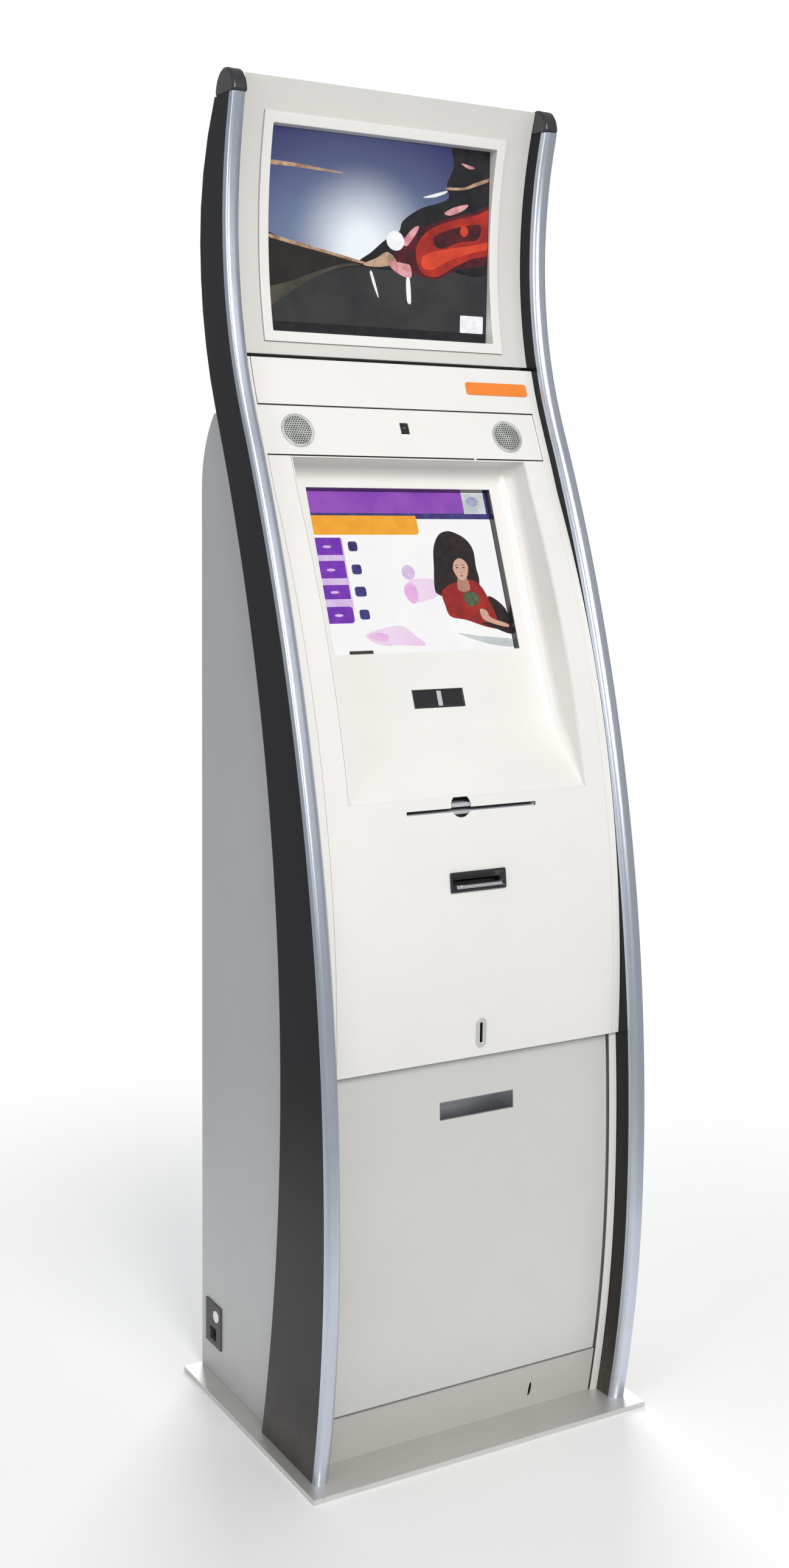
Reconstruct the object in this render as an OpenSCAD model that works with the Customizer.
// Ticket vending machine: a cabinet with a curved front, held between two curved side fins.
// X runs across (+X is the user's right), Y from the front (-) to the back (+), Z up.
// The origin is the middle of the base plate's underside, on the floor.
// Heights are above the floor. Depths are behind the front edge of the base plate.

/* [Base and fins] */
// Width of the base plate
base_w = 618; // [600:1:760]
// Depth of the base plate
base_d = 474; // [460:1:600]
// Thickness of the base plate
base_t = 8; // [6:1:12]
// Width of base plate that shows beside each fin
base_lip = 19; // [12:1:40]
// Thickness of a fin at its nose
fin_t = 25; // [20:1:32]
// Thickness of a fin beside the cabinet
fin_plate_t = 15; // [10:1:18]
// Depth of the bright trim on a fin's nose
trim_d = 14; // [8:1:20]
// Depth of the inner return behind the trim
return_d = 44; // [30:1:48]
// Height where a fin ends and its cap starts
fin_h = 2060; // [2000:5:2100]
// Height of the rounded cap on a fin
cap_h = 38; // [20:1:50]

/* [Fin curves] */
// Radius of the toe, below the foremost point
toe_r = 2000; // [1500:10:3000]
// Radius of the belly
belly_r = 2830; // [2500:10:3200]
// Height of the foremost point
belly_z = 350; // [250:10:450]
// Height where the belly turns into the hollow
hollow_start = 1590; // [1500:10:1640]
// Radius of the hollow in front of the head
hollow_r = 673; // [600:1:800]
// Depth of the rear edge at its foremost point
heel_y = 157; // [140:1:200]
// Height of that point
heel_z = 560; // [500:10:600]
// Radius of the rear edge below it
heel_r = 2700; // [2000:10:3500]
// Radius of the rear edge above it
spine_r = 2450; // [2200:10:2800]
// Height where the rear edge starts to bend upright
nape_start = 1600; // [1560:5:1640]
// Radius of that bend
nape_r = 618; // [560:1:700]
// Radius of the rear edge behind the head
crown_r = 400; // [360:5:500]

/* [Cabinet] */
// Thickness of the sheet steel
sheet = 2; // [1.5:0.5:3]
// Depth of the cabinet's front edge behind the fin's nose
shell_setback = 62; // [58:1:80]
// Height where the rear starts to curve forward
shoulder_z = 1486; // [1450:1:1500]
// Radius of the shoulder
shoulder_r = 164; // [140:1:200]
// Height of the cabinet's top edge
cab_top = 1600; // [1580:5:1640]
// Width of the foot flanges on the base plate
foot_w = 20; // [16:1:30]
// Radius of the anchor holes
anchor_r = 7; // [5:0.5:9]
// Distance between the anchor holes across the base
anchor_dx = 480; // [400:10:500]
// Distance between the anchor holes from front to back
anchor_dy = 330; // [250:10:360]
// Radius of the foot screws
foot_screw_r = 4; // [3:0.5:5]
// Radius of the bolts that hold the fins
fin_bolt_r = 3; // [2.5:0.5:4]

/* [Front panels] */
// Thickness of the front panels
panel_t = 2.5; // [2:0.5:4]
// Width of a side rail's front face
rail_w = 13.3; // [10:0.1:20]
// Depth of the rails' face behind the nose, beside the lower door
rail_setback = 44; // [40:1:48]
// Depth of the bands behind the nose, above the screen bay
band_setback = 28; // [20:1:34]
// Depth of the mid panel's foremost point
mid_y = 51; // [45:1:56]
// Height of that point
mid_z = 645; // [600:5:700]
// Radius of the mid panel
mid_r = 1750; // [1650:10:2000]
// Height of the mid panel's lower edge
mid_bottom = 634; // [620:1:660]
// Height of the overhang above the screen bay
bay_top = 1537; // [1530:1:1545]
// Height of the speaker band's top
speaker_band_top = 1612; // [1605:1:1620]
// Height of the label band's top
label_band_top = 1684; // [1675:1:1686]
// Step between the label band and the speaker band
band_step = 4; // [2:1:6]
// Depth of the head panel behind the nose
head_setback = 40; // [34:1:44]
// Height of the head panel's lower edge
head_bottom = 1690; // [1688:1:1700]
// Height of the head's top
head_top = 2094; // [2080:1:2100]
// Width of the orange label strip
strip_w = 118; // [60:1:140]
// Height of the label strip
strip_h = 20; // [12:1:30]
// Height of the label strip's middle
strip_z = 1651; // [1635:1:1665]

/* [Upper display] */
// Visible width of the upper display
upper_w = 403; // [380:1:420]
// Visible height of the upper display
upper_h = 305; // [290:1:320]
// Height of the upper display's middle
upper_z = 1878.5; // [1870:0.5:1885]
// Width of the raised frame around it
upper_frame = 16; // [12:1:24]
// Height that the frame stands proud of the head panel
upper_proud = 4; // [2:1:6]
// Depth of the upper display's glass
upper_glass_y = 397; // [396:1:404]
// Thickness of the upper display module
upper_module_t = 24; // [16:1:28]
// Depth of the head cover's flat back
head_back_y = 450; // [440:1:470]

/* [Touch screen bay] */
// Half width of the bay's opening
bay_half = 213; // [190:1:220]
// Lean of the bay's floor from upright
bay_lean = 22; // [18:1:25]
// Visible width of the touch display
touch_w = 338; // [320:1:350]
// Visible height of the touch display along its lean
touch_h = 270; // [250:1:280]
// Height of the touch display's middle
touch_z = 1365; // [1355:1:1375]
// Depth of the bay's floor at that height
touch_y = 273; // [265:1:285]
// Width of the dark frame behind the bay's floor
touch_frame = 8; // [6:1:12]
// Depth of that frame
touch_frame_d = 12; // [8:1:16]
// Thickness of the touch display module
touch_module_t = 22; // [16:1:30]
// Height where the bay's floor bends forward
bay_bend = 1128; // [1110:1:1140]
// Height where the bay's sill meets the mid panel
sill_z = 1032; // [1026:1:1045]
// Thickness of display glass
glass_t = 3; // [2:0.5:4]
// Width of the scanner window
scan_w = 93; // [80:1:110]
// Height of the scanner window
scan_h = 30; // [20:1:36]
// Height of the scanner window's middle
scan_z = 1170; // [1160:1:1180]

/* [Sound and camera] */
// Distance of the speakers from the middle
speaker_x = 191; // [170:1:205]
// Height of the speakers
speaker_z = 1575; // [1570:1:1580]
// Radius of a speaker grille
grille_r = 27.5; // [22:0.5:30]
// Height of the camera
camera_z = 1583; // [1570:1:1590]
// Width of the camera's window
camera_w = 14; // [10:1:20]
// Height of the camera's window
camera_h = 18; // [12:1:22]

/* [Paper outlets] */
// Width of the document slot
doc_w = 233; // [220:1:250]
// Height of the document slot
doc_h = 6; // [5:0.5:8]
// Height of the document slot above the floor
doc_z = 1013; // [1008:1:1018]
// Radius of the finger notch under the document slot
notch_r = 18; // [12:1:22]
// Distance of the notch from the middle
notch_x = -20; // [-60:1:60]
// Radius of the document printer's exit roller
exit_r = 7; // [5:0.5:8]
// Width of the ticket outlet
ticket_w = 100; // [92:1:120]
// Height of the ticket outlet
ticket_h = 31; // [28:1:40]
// Height of the ticket outlet's middle
ticket_z = 905.5; // [900:0.5:908]
// Width of the ticket slot
ticket_slot_w = 82; // [70:1:86]
// Height of the ticket slot
ticket_slot_h = 7; // [5:0.5:9]
// Radius of the ticket printer's platen roller
platen_r = 8; // [6:0.5:10]
// Radius of a full ticket roll
roll_r = 45; // [30:1:50]
// Width of the ticket roll
roll_w = 79; // [60:1:80]
// Radius of the spindle that carries the roll
spindle_r = 6; // [4:0.5:8]

/* [Coins] */
// Width of the coin slot
coin_slot_w = 5; // [4.5:0.5:6]
// Height of the coin slot
coin_slot_h = 32; // [28:1:36]
// Height of the coin slot's middle
coin_z = 671; // [666:1:676]
// Width of the return cup's opening
cup_w = 135; // [110:1:150]
// Height of the return cup's opening
cup_h = 28.5; // [24:0.5:36]
// Height of the return cup's middle
cup_z = 552.5; // [545:0.5:555]
// Depth of the return cup
cup_d = 58; // [50:1:62]
// Width of the cash box
cash_w = 200; // [160:1:240]
// Height of the cash box
cash_h = 180; // [120:1:185]

/* [Lower door] */
// Height of the door's lower edge
door_bottom = 90; // [88:1:110]
// Height of the door's upper edge
door_top = 631; // [615:1:631]
// Depth of the door behind the nose
door_setback = 50; // [48:1:54]
// Depth of the door's turned edges
door_edge = 20; // [16:1:22]
// Gap beside the door
door_gap = 3.2; // [3:0.1:5]
// Distance of the door's hinge line from its right edge
hinge_in = 120; // [110:1:160]
// Depth of the hinge line
hinge_y = 75; // [74:0.5:77]
// Radius of the hinge pins
pin_r = 3; // [2:0.5:3.5]
// Running clearance round a pin or shaft
running = 0.05; // [0.02:0.01:0.1]
// Travel of the latch bolt
latch_travel = 9; // [6:1:10]

/* [Rear door] */
// Height of the rear door's lower edge
rear_bottom = 42; // [40:1:60]
// Height of the rear door's upper edge
rear_top = 1476; // [1440:1:1478]
// Half width of the rear opening
rear_half = 263.5; // [250:0.5:265]
// Gap beside the rear door
rear_gap = 2.5; // [2:0.1:4]
// Depth of the rear door's turned edges
rear_edge = 18; // [14:1:20]
// Distance of the rear hinge line from the door's edge
rear_hinge_in = 30; // [26:1:60]
// Height of the rear lock
lock_z = 800; // [600:10:1000]
// Radius of the lock's plug
lock_r = 9; // [7:0.5:12]
// Size of the fan's square frame
fan_size = 120; // [80:1:140]
// Thickness of the fan
fan_t = 25; // [20:1:32]
// Height of the fan
fan_z = 1380; // [1300:5:1400]

/* [Electrics] */
// Depth of the power inlet's middle
inlet_y = 424; // [400:1:430]
// Height of the power inlet's middle
inlet_z = 98.5; // [90:0.5:120]
// Width of the power inlet
inlet_w = 58; // [50:1:60]
// Height of the power inlet
inlet_h = 75; // [66:1:80]
// Radius of the round mains switch
switch_r = 10; // [8:0.5:12]

/* [Hidden] */

$fn = 64;
gap = 0.3;
cut = 5;
fin_half = base_w / 2 - base_lip;
inner_half = fin_half - fin_t;
cab_half = fin_half - fin_plate_t;
side_in = cab_half - sheet;
rail_out = inner_half - 0.5;
rail_in = rail_out - rail_w;
panel_half = rail_in - gap;
door_half = rail_in - door_gap;
front = -base_d / 2;
rear = base_d / 2;

// How far an arc of radius r falls away at distance d from its foremost point
function fall(r, d) = r - sqrt(r * r - d * d);

// Front edge of the fins
front_lean = asin((hollow_start - belly_z) / belly_r);
hollow_y = fall(belly_r, hollow_start - belly_z) - hollow_r * cos(front_lean);
hollow_z = hollow_start + hollow_r * sin(front_lean);
function fin_front(z) = front + (z < belly_z ? fall(toe_r, belly_z - z)
    : z < hollow_start ? fall(belly_r, z - belly_z)
    : hollow_y + sqrt(hollow_r * hollow_r - (z - hollow_z) * (z - hollow_z)));

// Rear edge of the fins
rear_lean = asin((nape_start - heel_z) / spine_r);
nape_y = heel_y + fall(spine_r, nape_start - heel_z) - nape_r * cos(rear_lean);
nape_z = nape_start + nape_r * sin(rear_lean);
function fin_rear(z) = front + (z < heel_z ? heel_y + fall(heel_r, heel_z - z)
    : z < nape_start ? heel_y + fall(spine_r, z - heel_z)
    : z < nape_z ? nape_y + sqrt(nape_r * nape_r - (z - nape_z) * (z - nape_z))
    : nape_y + nape_r - fall(crown_r, z - nape_z));

// Faces of the front panels
trim_back = function(z) fin_front(z) + trim_d;
nose_face = function(z) fin_front(z);
shell_face = function(z) fin_front(z) + shell_setback;
door_face = function(z) fin_front(z) + door_setback;
low_rail_face = function(z) fin_front(z) + rail_setback;
speaker_face = function(z) fin_front(z) + band_setback + band_step / 2;
label_face = function(z) fin_front(z) + band_setback - band_step / 2;
head_face = function(z) fin_front(z) + head_setback;
mid_arc = function(z) front + mid_y + fall(mid_r, z - mid_z);
mid_face = function(z) z < touch_z ? mid_arc(z) : min(mid_arc(z), fin_front(z) + band_setback);
bay_floor = function(z) front + touch_y + (z - touch_z) * tan(bay_lean);
shoulder = function(z) rear - (z < shoulder_z ? 0 : fall(shoulder_r, z - shoulder_z));
cover_back = function(z) front + lookup(z, [[cab_top, 428], [cab_top + 100, head_back_y],
    [head_top - 54, head_back_y], [head_top, 402]]);
function mid_lean(z) = asin((z - mid_z) / mid_r);
function belly_lean(z) = asin((z - belly_z) / belly_r);

// Points of a curve from z0 to z1, moved back by d
function curve(face, z0, z1, steps, d = 0) =
    [for (i = [0 : steps]) let (z = z0 + (z1 - z0) * i / steps) [face(z) + d, z]];

// Runs a side view, drawn as [depth, height], across the width from x0 to x1
module across(x0, x1) translate([x0, 0, 0]) rotate([90, 0, 90]) linear_extrude(x1 - x0) children();

// A sheet that follows a face from z0 to z1
module strip(face, z0, z1, t, x0, x1, steps = 12)
    across(x0, x1) polygon(concat(curve(face, z0, z1, steps), curve(face, z1, z0, steps, t)));

// A block from one corner to the other
module block(x0, x1, y0, y1, z0, z1) translate([x0, y0, z0]) cube([x1 - x0, y1 - y0, z1 - z0]);

module left() mirror([1, 0, 0]) children();
module both_sides() {
    children();
    left() children();
}

// Stands children on a leaning face: x across, y into the machine, z up the face
module on_mid(z) translate([0, mid_face(z), z]) rotate([-mid_lean(z), 0, 0]) children();
module on_band(z) translate([0, speaker_face(z), z]) rotate([-belly_lean(z), 0, 0]) children();
module on_bay(z) translate([0, bay_floor(z), z]) rotate([-bay_lean, 0, 0]) children();

// A rod from x0 to x1, or from y0 to y1
module rod_x(r, x0, x1, y, z) translate([x0, y, z]) rotate([0, 90, 0]) cylinder(r = r, h = x1 - x0);
module rod_y(r, x, y0, y1, z) translate([x, y0, z]) rotate([-90, 0, 0]) cylinder(r = r, h = y1 - y0);

// ---- Base, fins and cabinet ----

anchor_y = 38;
foot_screw_ys = [front + 130, front + 400];
fin_bolt_zs = [150, 560, 1000, 1450];
function fin_bolt_y(z) = (shell_face(z) + fin_rear(z)) / 2;
foot_x = cab_half - foot_w / 2;

module base_plate() color("silver") difference() {
    block(-base_w / 2, base_w / 2, front, rear, 0, base_t);
    for (x = [-1, 1], y = [-1, 1])
        translate([x * anchor_dx / 2, anchor_y + y * anchor_dy / 2, -cut])
            cylinder(r = anchor_r, h = base_t + 2 * cut);
    for (x = [-1, 1], y = foot_screw_ys)
        translate([x * foot_x, y, base_t / 4]) cylinder(r = foot_screw_r + 0.1, h = base_t);
}

module foot_screws() color("dimgray") for (x = [-1, 1], y = foot_screw_ys)
    translate([x * foot_x, y, 0]) {
        translate([0, 0, base_t / 4 + 0.2]) cylinder(r = foot_screw_r, h = base_t);
        translate([0, 0, base_t + sheet]) cylinder(r = foot_screw_r * 1.6, h = 5);
    }

// The right-hand fin: a plate beside the cabinet and a return that thickens it to the nose
module fin() color([0.05, 0.05, 0.06]) difference() {
    union() {
        across(cab_half, fin_half)
            polygon(concat(curve(trim_back, base_t, fin_h, 40),
                [for (i = [0 : 40]) let (z = fin_h + (base_t - fin_h) * i / 40) [fin_rear(z), z]]));
        strip(trim_back, base_t, fin_h, return_d, inner_half, cab_half + 1, 40);
    }
    for (z = fin_bolt_zs) rod_x(fin_bolt_r + 0.1, inner_half, cab_half + 9, fin_bolt_y(z), z);
}
module right_fin() fin();
module left_fin() left() fin();

module right_trim() color("lightsteelblue")
    strip(nose_face, base_t, fin_h, trim_d, inner_half, fin_half, 40);
module left_trim() left() right_trim();

module fin_caps() color([0.12, 0.12, 0.13]) both_sides()
    across(inner_half, fin_half) polygon([for (a = [0 : 7.5 : 180])
        [(fin_front(fin_h) + fin_rear(fin_h)) / 2 + (fin_rear(fin_h) - fin_front(fin_h)) / 2 * cos(a),
            fin_h + cap_h * sin(a)]]);

module fin_bolts() color("dimgray") both_sides() for (z = fin_bolt_zs) {
    rod_x(fin_bolt_r, side_in, cab_half + 8, fin_bolt_y(z), z);
    rod_x(fin_bolt_r * 2, side_in - 4, side_in, fin_bolt_y(z), z);
}

rear_hinge_x = rear_half - rear_gap - rear_hinge_in;
rear_hinge_y = rear - 11;
hinge_plate = 4;
lock_x = 28 - rear_half;

module shell_side() {
    across(side_in, cab_half) polygon(concat(curve(shell_face, base_t, cab_top, 24),
        curve(shoulder, cab_top, shoulder_z, 8), [[rear, base_t]]));
    strip(shell_face, base_t, label_band_top - 90, sheet, rail_in, cab_half, 24);
    block(rear_half, cab_half, rear - sheet, rear, base_t, shoulder_z);
    block(cab_half - foot_w, cab_half, shell_face(base_t) + 8, rear, base_t, base_t + sheet);
}

module cabinet_shell() color("gainsboro") difference() {
    union() {
        both_sides() shell_side();
        strip(function(z) shoulder(z) - sheet, rear_top + rear_gap, cab_top, sheet, -cab_half, cab_half);
        block(-side_in, side_in, rear - 26, rear, rear_top + rear_gap, rear_top + rear_gap + hinge_plate);
        block(-cab_half, cab_half, rear - sheet, rear, base_t, rear_bottom - rear_gap);
        block(-side_in, side_in, rear - 26, rear,
            rear_bottom - rear_gap - hinge_plate, rear_bottom - rear_gap);
        block(-side_in - 1, 10 - side_in, rear - 20.5, rear - 18.5, lock_z - 20, lock_z + 20);
    }
    translate([rear_hinge_x, rear_hinge_y, 0]) cylinder(r = pin_r + running, h = cab_top);
    for (x = [-1, 1], y = foot_screw_ys)
        translate([x * foot_x, y, 0]) cylinder(r = foot_screw_r + 0.1, h = base_t + cut);
    both_sides() for (z = fin_bolt_zs)
        rod_x(fin_bolt_r + 0.1, side_in - cut, cab_half + cut, fin_bolt_y(z), z);
    block(-cab_half - cut, -side_in + cut, front + inlet_y - inlet_w / 2 + 3,
        front + inlet_y + inlet_w / 2 - 3, inlet_z - inlet_h / 2 + 3, inlet_z + inlet_h / 2 - 3);
}

// ---- Front panels ----

module rail() color("whitesmoke") {
    strip(low_rail_face, base_t, mid_bottom, panel_t, rail_in, rail_out, 16);
    strip(mid_face, mid_bottom, label_band_top, panel_t, rail_in, rail_out, 32);
    across(rail_out - sheet, rail_out)
        polygon(concat(curve(low_rail_face, base_t, mid_bottom, 16),
            curve(mid_face, mid_bottom, label_band_top, 32),
            curve(shell_face, label_band_top, base_t, 32, -gap)));
}
latch_z = 350;
module right_rail() rail();
module left_rail() left() {
    rail();
    // Keep that the latch bolt slides behind
    color("whitesmoke") block(rail_in, rail_out, low_rail_face(latch_z) + 1,
        door_face(latch_z) + 3.5, latch_z - 15, latch_z + 15);
}

module kick_plate() color("darkgray") difference() {
    union() {
        strip(door_face, base_t, door_bottom - 4, sheet, -panel_half, panel_half, 6);
        block(-panel_half, panel_half, door_face(door_bottom), door_face(door_bottom) + 26,
            door_bottom - 6, door_bottom - 4);
    }
    hinge_bore();
}
hinge_x = door_half - hinge_in;
module hinge_bore() translate([hinge_x, front + hinge_y, 0])
    cylinder(r = pin_r + running, h = mid_bottom + 20);

module door_header() color("darkgray") difference() {
    block(-panel_half, panel_half, front + 60, front + 92, mid_bottom + 1.5, mid_bottom + 5.5);
    hinge_bore();
}

module lower_door() color("lightgray") {
    difference() {
        union() {
            strip(door_face, door_bottom, door_top, sheet, -door_half, door_half, 20);
            both_sides() strip(door_face, door_bottom, door_top, door_edge, door_half - sheet, door_half, 20);
            strip(door_face, door_bottom, door_bottom + sheet, door_edge, -door_half, door_half, 1);
            strip(door_face, door_top - sheet, door_top, door_edge, -door_half, door_half, 1);
        }
        block(-cup_w / 2, cup_w / 2, front, front + 120, cup_z - cup_h / 2, cup_z + cup_h / 2);
        block(-door_half - cut, -door_half + cut, latch_y - 0.5, latch_y + 6.5,
            latch_z - 10.5, latch_z + 10.5);
    }
    translate([hinge_x, front + hinge_y, door_top - 1]) cylinder(r = pin_r, h = mid_bottom - door_top + 5.5);
    translate([hinge_x, front + hinge_y, door_bottom - 6.5]) cylinder(r = pin_r, h = 7.5);
}
latch_y = door_face(latch_z) + 4;

module door_latch() color("dimgray") difference() {
    block(-door_half + sheet + gap, -door_half + 40, door_face(latch_z) + sheet + gap, latch_y + 10,
        latch_z - 16, latch_z + 16);
    block(-door_half - cut, -door_half + 60, latch_y - 0.2, latch_y + 6.2, latch_z - 10.2, latch_z + 10.2);
}
module latch_bolt() color("silver") {
    block(-door_half + 0.5, -door_half + 46, latch_y, latch_y + 6, latch_z - 10, latch_z + 10);
    block(-door_half + 46, -door_half + 52, latch_y, latch_y + 6, latch_z - 10, latch_z + 10);
    block(-door_half + 52, -door_half + 57, latch_y, latch_y + 18, latch_z - 10, latch_z + 10);
}

module return_cup() color("silver") difference() {
    wall = 1.5;
    z0 = cup_z - cup_h / 2;
    z1 = cup_z + cup_h / 2;
    y0 = door_face(z1 + wall) + sheet + gap;
    block(-cup_w / 2 - wall, cup_w / 2 + wall, y0, y0 + cup_d, z0 - wall, z1 + wall);
    block(-cup_w / 2, cup_w / 2, y0 - cut, y0 + cup_d - wall, z0, z1);
    block(-cup_w / 2, cup_w / 2, y0 + cup_d - 24, y0 + cup_d - wall, z0, z1 + cut);
}

module mid_panel() color("linen") difference() {
    strip(mid_face, mid_bottom, bay_top, panel_t, -panel_half, panel_half, 36);
    block(-bay_half, bay_half, front, rear, sill_z, bay_top + cut);
    on_mid(doc_z) block(-doc_w / 2, doc_w / 2, -cut, 2 * cut, -doc_h / 2, doc_h / 2);
    on_mid(doc_z) rod_y(notch_r, notch_x, -cut, 2 * cut, notch_r / 2 - 3);
    on_mid(ticket_z) block(-ticket_w / 2 + 4, ticket_w / 2 - 4, -cut, 2 * cut, -ticket_h / 2 + 4, ticket_h / 2 - 4);
    on_mid(coin_z) block(-coin_slot_w / 2 - 1, coin_slot_w / 2 + 1, -cut, 2 * cut,
        -coin_slot_h / 2 - 1, coin_slot_h / 2 + 1);
}

module label_band() color("oldlace")
    strip(label_face, speaker_band_top + 2, label_band_top, panel_t, -panel_half, panel_half, 6);

module label_strip() color("darkorange")
    strip(function(z) label_face(z) - 1.3, strip_z - strip_h / 2, strip_z + strip_h / 2, 1,
        panel_half - 5 - strip_w, panel_half - 5, 2);

module speaker_band() color("oldlace") difference() {
    strip(speaker_face, bay_top + 2, speaker_band_top, panel_t, -panel_half, panel_half, 6);
    for (s = [-1, 1]) on_band(speaker_z) rod_y(grille_r - 2, s * speaker_x, -cut, 2 * cut, 0);
    on_band(camera_z) block(-camera_w / 2 - 0.5, camera_w / 2 + 0.5, -cut, 2 * cut,
        -camera_h / 2 - 0.5, camera_h / 2 + 0.5);
}

// ---- Speakers and camera ----

module speaker_grilles() color("gray") for (s = [-1, 1]) on_band(speaker_z) difference() {
    rod_y(grille_r, s * speaker_x, -2, -0.5, 0);
    for (i = [-2 : 2]) block(s * speaker_x - 15, s * speaker_x + 15, -cut, cut, i * 7 - 1, i * 7 + 1);
}

module speaker_drivers() color([0.15, 0.15, 0.15]) for (s = [-1, 1]) on_band(speaker_z)
    translate([s * speaker_x, panel_t + 0.6, 0]) rotate([-90, 0, 0]) {
        cylinder(r = grille_r, h = 3);
        translate([0, 0, 3]) cylinder(r1 = grille_r - 3, r2 = 12, h = 12);
        translate([0, 0, 15]) cylinder(r = 14, h = 9);
    }

module camera_lens() color("black") on_band(camera_z)
    block(-camera_w / 2, camera_w / 2, -1, panel_t + 1, -camera_h / 2, camera_h / 2);
module camera_body() color("dimgray") on_band(camera_z)
    block(-20, 20, panel_t + 1 + gap, panel_t + 19, -13, 13);

// ---- Head ----

frame_half = upper_w / 2 + upper_frame;
frame_z0 = upper_z - upper_h / 2 - upper_frame;
frame_z1 = upper_z + upper_h / 2 + upper_frame;

module window(grow = 0) block(-upper_w / 2 - grow, upper_w / 2 + grow, front, rear + cut,
    upper_z - upper_h / 2 - grow, upper_z + upper_h / 2 + grow);

module head_panel() color("gainsboro") difference() {
    union() {
        strip(head_face, head_bottom, head_top, sheet, -rail_out, rail_out, 24);
        block(sheet + gap - inner_half, inner_half - sheet - gap, head_face(head_bottom),
            head_face(head_bottom) + 28, head_bottom, head_bottom + sheet);
    }
    window(upper_frame + gap);
}

module head_frame() color("white") difference() {
    across(-frame_half, frame_half) polygon(concat(
        curve(head_face, frame_z0, frame_z1, 16, -upper_proud),
        [[front + upper_glass_y - gap, frame_z1], [front + upper_glass_y - gap, frame_z0]]));
    window();
}

module upper_glass() color([0.1, 0.1, 0.2]) block(-upper_w / 2 - 10, upper_w / 2 + 10,
    front + upper_glass_y, front + upper_glass_y + glass_t,
    upper_z - upper_h / 2 - 10, upper_z + upper_h / 2 + 10);

display_back = front + upper_glass_y + glass_t + gap + upper_module_t;
module upper_display() color([0.2, 0.2, 0.22]) block(-upper_w / 2 - 12, upper_w / 2 + 12,
    display_back - upper_module_t, display_back, upper_z - upper_h / 2 - 12, upper_z + upper_h / 2 + 12);

module display_mounts() color("silver") both_sides()
    block(90, 120, display_back, front + head_back_y - sheet, upper_z - 120, upper_z + 120);

module head_cover() color("gainsboro") difference() {
    union() {
        both_sides() across(inner_half - sheet, inner_half) polygon(concat(
            curve(shell_face, cab_top, head_bottom, 6), curve(head_face, head_bottom, head_top, 24, sheet + gap),
            [for (z = [head_top, head_top - 54, cab_top + 100, cab_top]) [cover_back(z), z]]));
        strip(function(z) cover_back(z) - sheet, cab_top, cab_top + 100, sheet, -inner_half, inner_half, 1);
        strip(function(z) cover_back(z) - sheet, cab_top + 100, head_top - 54, sheet, -inner_half, inner_half, 1);
        strip(function(z) cover_back(z) - sheet, head_top - 54, head_top, sheet, -inner_half, inner_half, 1);
        block(-inner_half, inner_half, head_face(head_top - sheet) + sheet + gap, cover_back(head_top),
            head_top - sheet, head_top);
    }
    for (i = [0 : 7]) block(-60, 60, rear - 50, rear, upper_z + 100 - 12 * i, upper_z + 104 - 12 * i);
}

// ---- Touch screen bay ----

bay_wall = bay_half - gap;
sill_front = mid_face(sill_z) + panel_t + gap;
floor_t = sheet / cos(bay_lean);

module touch_bay() color("gainsboro") difference() {
    union() {
        both_sides() across(bay_wall - sheet, bay_wall) polygon(concat(
            curve(mid_face, sill_z + gap, bay_top, 20),
            [[bay_floor(bay_top) + floor_t, bay_top], [bay_floor(bay_bend) + floor_t, bay_bend],
                [sill_front + 6, sill_z + gap]]));
        across(-bay_wall, bay_wall) polygon([[bay_floor(bay_top), bay_top], [bay_floor(bay_bend), bay_bend],
            [bay_floor(bay_bend) + floor_t, bay_bend], [bay_floor(bay_top) + floor_t, bay_top]]);
        across(-bay_wall, bay_wall) polygon([[bay_floor(bay_bend), bay_bend], [mid_face(sill_z), sill_z + gap],
            [mid_face(sill_z) + 3, sill_z + gap], [bay_floor(bay_bend) + floor_t, bay_bend]]);
        block(-bay_wall, bay_wall, mid_face(bay_top), bay_floor(bay_top) + 1, bay_top - sheet, bay_top);
    }
    on_bay(touch_z) block(-touch_w / 2, touch_w / 2, -cut, 2 * cut, -touch_h / 2, touch_h / 2);
    on_bay(scan_z) block(-scan_w / 2, scan_w / 2, -cut, 2 * cut, -scan_h / 2, scan_h / 2);
}

frame_y = sheet + gap;
glass_y = frame_y + touch_frame_d + gap;
module touch_frame_ring() color([0.1, 0.1, 0.1]) on_bay(touch_z) difference() {
    block(-touch_w / 2 - touch_frame, touch_w / 2 + touch_frame, frame_y, frame_y + touch_frame_d,
        -touch_h / 2 - touch_frame, touch_h / 2 + touch_frame);
    block(-touch_w / 2, touch_w / 2, 0, 40, -touch_h / 2, touch_h / 2);
}
module touch_glass() color([0.9, 0.9, 0.95]) on_bay(touch_z)
    block(-touch_w / 2 - 5, touch_w / 2 + 5, glass_y, glass_y + glass_t, -touch_h / 2 - 5, touch_h / 2 + 5);
module touch_display() color([0.2, 0.2, 0.22]) on_bay(touch_z)
    block(-touch_w / 2 - touch_frame, touch_w / 2 + touch_frame, glass_y + glass_t + gap,
        glass_y + glass_t + gap + touch_module_t, -touch_h / 2 - touch_frame, touch_h / 2 + touch_frame);

module scanner_window() color("black") on_bay(scan_z)
    block(-scan_w / 2 + 0.4, scan_w / 2 - 0.4, -0.5, sheet + 0.5, -scan_h / 2 + 0.4, scan_h / 2 - 0.4);
module scanner_module() color([0.2, 0.2, 0.22]) on_bay(scan_z)
    block(-40, 40, sheet + 0.5 + gap, sheet + 42, -13, 13);

// ---- Paper outlets ----

shelf_z = 949;
doc_half = doc_w / 2 - 3;
exit_y = front + 128;
exit_z = doc_z - doc_h / 2 - exit_r + 0.5;

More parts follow.
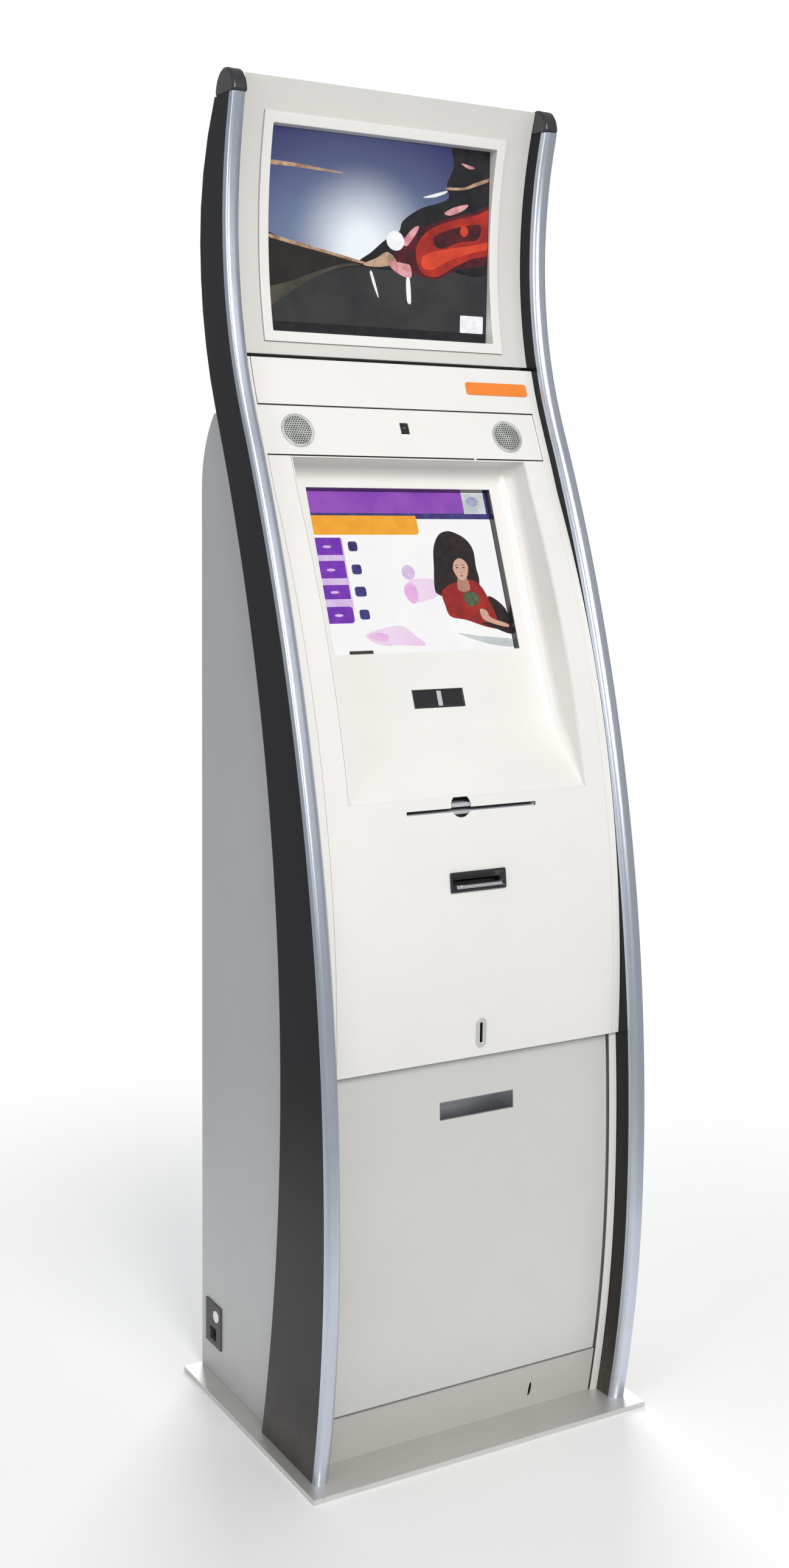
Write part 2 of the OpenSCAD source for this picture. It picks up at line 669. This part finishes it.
module document_printer() color([0.25, 0.25, 0.27]) difference() {
    union() {
        block(-150, 150, front + 190, front + 400, shelf_z + sheet + gap, shelf_z + 126);
        block(-150, 150, front + 112, front + 191, shelf_z + sheet + gap, doc_z + 9);
        block(-doc_w / 2 - 4, doc_w / 2 + 4, mid_face(doc_z) + panel_t + 3, front + 120, doc_z - 8, doc_z + 9);
    }
    block(-doc_half, doc_half, front, front + 180, doc_z - doc_h / 2, doc_z + doc_h / 2);
    block(-doc_half, doc_half, exit_y - exit_r - 1, exit_y + exit_r + 1, exit_z - exit_r - 1, doc_z);
    rod_x(3 + running, -140, 140, exit_y, exit_z);
    block(-118, 118, front + 190, rear, shelf_z + 6, shelf_z + 38);
}
module exit_roller() color([0.3, 0.3, 0.3]) {
    rod_x(exit_r, -doc_half + 2, doc_half - 2, exit_y, exit_z);
    rod_x(3, -138, 138, exit_y, exit_z);
}
module paper_tray() color("lightgray") difference() {
    block(-117, 117, front + 192, front + 404, shelf_z + 6 + gap, shelf_z + 36);
    block(-112, 112, front + 196, front + 398, shelf_z + 9, shelf_z + 40);
}

module ticket_bezel() color([0.08, 0.08, 0.08]) on_mid(ticket_z) difference() {
    union() {
        block(-ticket_w / 2, ticket_w / 2, -3.5, -0.5, -ticket_h / 2, ticket_h / 2);
        block(-ticket_w / 2 + 4.4, ticket_w / 2 - 4.4, -1, 12, -ticket_h / 2 + 4.4, ticket_h / 2 - 4.4);
    }
    block(-ticket_slot_w / 2, ticket_slot_w / 2, -cut, 20, -ticket_slot_h / 2, ticket_slot_h / 2);
}
module ticket_lip() color("silver") on_mid(ticket_z) {
    block(-ticket_slot_w / 2, ticket_slot_w / 2, -5, -3.5, -ticket_slot_h / 2 - 7, -ticket_slot_h / 2 - 1);
    block(-ticket_slot_w / 2, ticket_slot_w / 2, -10, -5, -ticket_slot_h / 2 - 2.5, -ticket_slot_h / 2 - 1);
}

platen_y = front + 112;
platen_z = ticket_z - ticket_slot_h / 2 - platen_r + 0.5;
module ticket_printer() color([0.3, 0.32, 0.35]) difference() {
    block(-ticket_w / 2, ticket_w / 2, front + 90, front + 165, ticket_z - 36, shelf_z);
    block(-ticket_slot_w / 2, ticket_slot_w / 2, front, front + 190,
        ticket_z - ticket_slot_h / 2, ticket_z + ticket_slot_h / 2);
    block(-ticket_slot_w / 2, ticket_slot_w / 2, platen_y - platen_r - 1, platen_y + platen_r + 1,
        platen_z - platen_r - 1, ticket_z);
    rod_x(2.5 + running, -ticket_w / 2 - cut, ticket_w / 2 + cut, platen_y, platen_z);
}
module platen_roller() color([0.2, 0.2, 0.2]) {
    rod_x(platen_r, -ticket_slot_w / 2 + 1, ticket_slot_w / 2 - 1, platen_y, platen_z);
    rod_x(2.5, -ticket_w / 2 - 3, ticket_w / 2 - 1, platen_y, platen_z);
}

roll_y = front + 225;
roll_z = 800;
ear_x = roll_w / 2 + 3;
module paper_roll() color("white") difference() {
    rod_x(roll_r, -roll_w / 2, roll_w / 2, roll_y, roll_z);
    rod_x(spindle_r + running, -ear_x, ear_x, roll_y, roll_z);
}
module roll_bracket() color("silver") {
    for (s = [-1, 1]) block(s * (ear_x + 1) - 1, s * (ear_x + 1) + 1, roll_y - 18, roll_y + 18, roll_z - 14, shelf_z);
    block(-ear_x - 2, ear_x + 2, roll_y - 18, roll_y + 18, shelf_z - sheet, shelf_z);
    rod_x(spindle_r, -ear_x - 1, ear_x + 1, roll_y, roll_z);
}

// ---- Coins ----

accept_y = front + 95;
accept_bottom = 590;
module coin_plate() color("silver") on_mid(coin_z) difference() {
    block(-9, 9, -2, -0.5, -coin_slot_h / 2 - 7, coin_slot_h / 2 + 7);
    block(-coin_slot_w / 2, coin_slot_w / 2, -cut, cut, -coin_slot_h / 2, coin_slot_h / 2);
}
module coin_acceptor() color([0.75, 0.55, 0.15]) difference() {
    union() {
        block(-28, 28, accept_y, accept_y + 80, accept_bottom, coin_z + 29);
        block(-8, 8, mid_face(coin_z + 21) + panel_t + gap, accept_y + 1, coin_z - 21, coin_z + 21);
    }
    block(-coin_slot_w / 2, coin_slot_w / 2, front, accept_y + 35, coin_z - coin_slot_h / 2, coin_z + coin_slot_h / 2);
}

chute_x = 12;
module chute(y0, y1, z0) difference() {
    block(-chute_x, chute_x, y0, y1, z0, accept_bottom);
    block(-chute_x + 1.5, chute_x - 1.5, y0 + 1.5, y1 - 1.5, z0 - cut, accept_bottom + cut);
}
cash_z = 300 + gap;
module coin_chutes() color("silver") {
    chute(accept_y + 1, accept_y + 19, cup_z + cup_h / 2 + 7);
    chute(accept_y + 48, accept_y + 70, cash_z + cash_h + gap);
}
module cash_box() color("steelblue") difference() {
    union() {
        block(-cash_w / 2, cash_w / 2, front + 120, front + 330, cash_z, cash_z + cash_h);
        block(-40, 40, front + 104, front + 121, cash_z + 120, cash_z + 132);
    }
    block(-cash_w / 2 + 2, cash_w / 2 - 2, front + 122, front + 328, cash_z + 2, cash_z + cash_h - 2);
    block(-9, 9, accept_y + 50, accept_y + 68, cash_z, cash_z + cash_h + cut);
    block(-32, 32, front + 110, front + 119, cash_z + 100, cash_z + 150);
}

// ---- Shelves and electrics ----

module shelf(z, y0) {
    block(-side_in + gap, side_in - gap, y0, front + 430, z, z + sheet);
    both_sides() block(side_in - gap - sheet, side_in - gap, y0 + 20, front + 430, z - 22, z + 1);
}
// The shelf stays behind the swing of the lower door, with a tongue under the cash box
module lower_shelf() color("darkgray") {
    shelf(cash_z - gap - sheet, front + hinge_y + hinge_in + 12);
    block(-cash_w / 2 - 4, cash_w / 2 + 2, front + 118, front + hinge_y + hinge_in + 13,
        cash_z - gap - sheet, cash_z - gap);
}
module printer_shelf() color("darkgray") shelf(shelf_z, front + 150 + 12);

module computer() color([0.3, 0.3, 0.32]) difference() {
    computer_y = front + hinge_y + hinge_in + 10;
    block(-10, 205, computer_y, computer_y + 235, base_t, base_t + 92);
    for (i = [0 : 9]) block(180, 210, computer_y + 30 + 18 * i, computer_y + 38 + 18 * i, base_t + 20, base_t + 70);
}
module power_supply() color("silver") difference() {
    block(-225, -95, front + 160, front + 330, base_t, base_t + 78);
    for (i = [0 : 6]) block(-120, -90, front + 190 + 18 * i, front + 198 + 18 * i, base_t + 16, base_t + 60);
}

switch_y = front + inlet_y - 12;
switch_z = inlet_z + 17.5;
switch_x = -cab_half - 1;
module inlet_module() color([0.2, 0.2, 0.2]) difference() {
    union() {
        block(-cab_half - 3, -cab_half - gap, front + inlet_y - inlet_w / 2, front + inlet_y + inlet_w / 2,
            inlet_z - inlet_h / 2, inlet_z + inlet_h / 2);
        block(-cab_half - 1, -cab_half + 36, front + inlet_y - inlet_w / 2 + 3.5,
            front + inlet_y + inlet_w / 2 - 3.5, inlet_z - inlet_h / 2 + 3.5, inlet_z + inlet_h / 2 - 3.5);
    }
    rod_x(switch_r + 0.7, -cab_half - cut, -cab_half + 16, switch_y, switch_z);
    rod_y(1.5 + running, switch_x + 2, switch_y - 14, switch_y + 14, switch_z);
    block(-cab_half - cut, -cab_half + 18, front + inlet_y - 12, front + inlet_y + 12, inlet_z - 28, inlet_z - 6);
}
module mains_switch() color("white") {
    rod_x(switch_r, switch_x - 3, switch_x + 5, switch_y, switch_z);
    rod_y(1.5, switch_x + 2, switch_y - 13, switch_y + 13, switch_z);
}

// ---- Rear door ----

rear_door_half = rear_half - rear_gap;
module rear_door() color("gainsboro") {
    difference() {
        union() {
            block(-rear_door_half, rear_door_half, rear - sheet, rear, rear_bottom, rear_top);
            both_sides() block(rear_door_half - sheet, rear_door_half, rear - rear_edge, rear,
                rear_bottom, rear_top);
            for (z = [rear_bottom, rear_top - sheet])
                block(-rear_door_half, rear_door_half, rear - rear_edge, rear, z, z + sheet);
        }
        for (i = [0 : 6]) block(-100, 100, rear - cut, rear + cut, 100 + 14 * i, 105 + 14 * i);
        for (i = [0 : 6]) block(-45, 45, rear - cut, rear + cut, fan_z - 44 + 14 * i, fan_z - 39 + 14 * i);
        rod_y(lock_r + running, lock_x, rear - 40, rear + cut, lock_z);
    }
    translate([rear_hinge_x, rear_hinge_y, rear_top - 1]) cylinder(r = pin_r, h = rear_gap + hinge_plate);
    translate([rear_hinge_x, rear_hinge_y, rear_bottom - rear_gap - hinge_plate + 1])
        cylinder(r = pin_r, h = rear_gap + hinge_plate);
}

// The plug turns in the door. Its cam stands upright when the door is free.
module rear_lock() color("silver") difference() {
    union() {
        rod_y(lock_r, lock_x, rear - 22, rear - 0.5, lock_z);
        block(lock_x - 7, lock_x + 7, rear - 25, rear - 22, lock_z - 9, lock_z + 33);
    }
    block(lock_x - 1, lock_x + 1, rear - 6, rear + cut, lock_z - 4, lock_z + 4);
}

fan_y0 = rear - sheet - gap - fan_t;
module fan_frame() color([0.12, 0.12, 0.12]) difference() {
    union() {
        difference() {
            block(-fan_size / 2, fan_size / 2, fan_y0, fan_y0 + fan_t, fan_z - fan_size / 2, fan_z + fan_size / 2);
            rod_y(fan_size / 2 - 4, 0, fan_y0 - cut, fan_y0 + fan_t + cut, fan_z);
        }
        rod_y(19, 0, fan_y0 + fan_t - 4, fan_y0 + fan_t, fan_z);
        for (a = [45 : 90 : 315]) translate([0, 0, fan_z]) rotate([0, a, 0])
            block(15, fan_size / 2 - 2, fan_y0 + fan_t - 4, fan_y0 + fan_t, -2.5, 2.5);
        rod_y(2, 0, fan_y0 + 4, fan_y0 + fan_t - 3, fan_z);
    }
}
module fan_rotor() color([0.2, 0.2, 0.2]) difference() {
    union() {
        rod_y(20, 0, fan_y0 + 2, fan_y0 + fan_t - 5, fan_z);
        for (i = [0 : 6]) translate([0, fan_y0 + fan_t / 2 - 1, fan_z]) rotate([0, i * 360 / 7, 0])
            rotate([32, 0, 0]) block(17, fan_size / 2 - 7, -1, 1, -12, 12);
    }
    rod_y(2 + running, 0, fan_y0 - cut, fan_y0 + fan_t - 4, fan_z);
}

base_plate();
cabinet_shell();
left_fin();
right_fin();
left_trim();
right_trim();
fin_caps();
fin_bolts();
foot_screws();
left_rail();
right_rail();
kick_plate();
door_header();
lower_door();
door_latch();
latch_bolt();
return_cup();
mid_panel();
touch_bay();
touch_frame_ring();
touch_glass();
touch_display();
scanner_window();
scanner_module();
speaker_band();
speaker_grilles();
speaker_drivers();
camera_lens();
camera_body();
label_band();
label_strip();
head_panel();
head_frame();
upper_glass();
upper_display();
display_mounts();
head_cover();
document_printer();
exit_roller();
paper_tray();
ticket_bezel();
ticket_lip();
ticket_printer();
platen_roller();
paper_roll();
roll_bracket();
coin_plate();
coin_acceptor();
coin_chutes();
cash_box();
lower_shelf();
printer_shelf();
computer();
power_supply();
inlet_module();
mains_switch();
rear_door();
rear_lock();
fan_frame();
fan_rotor();
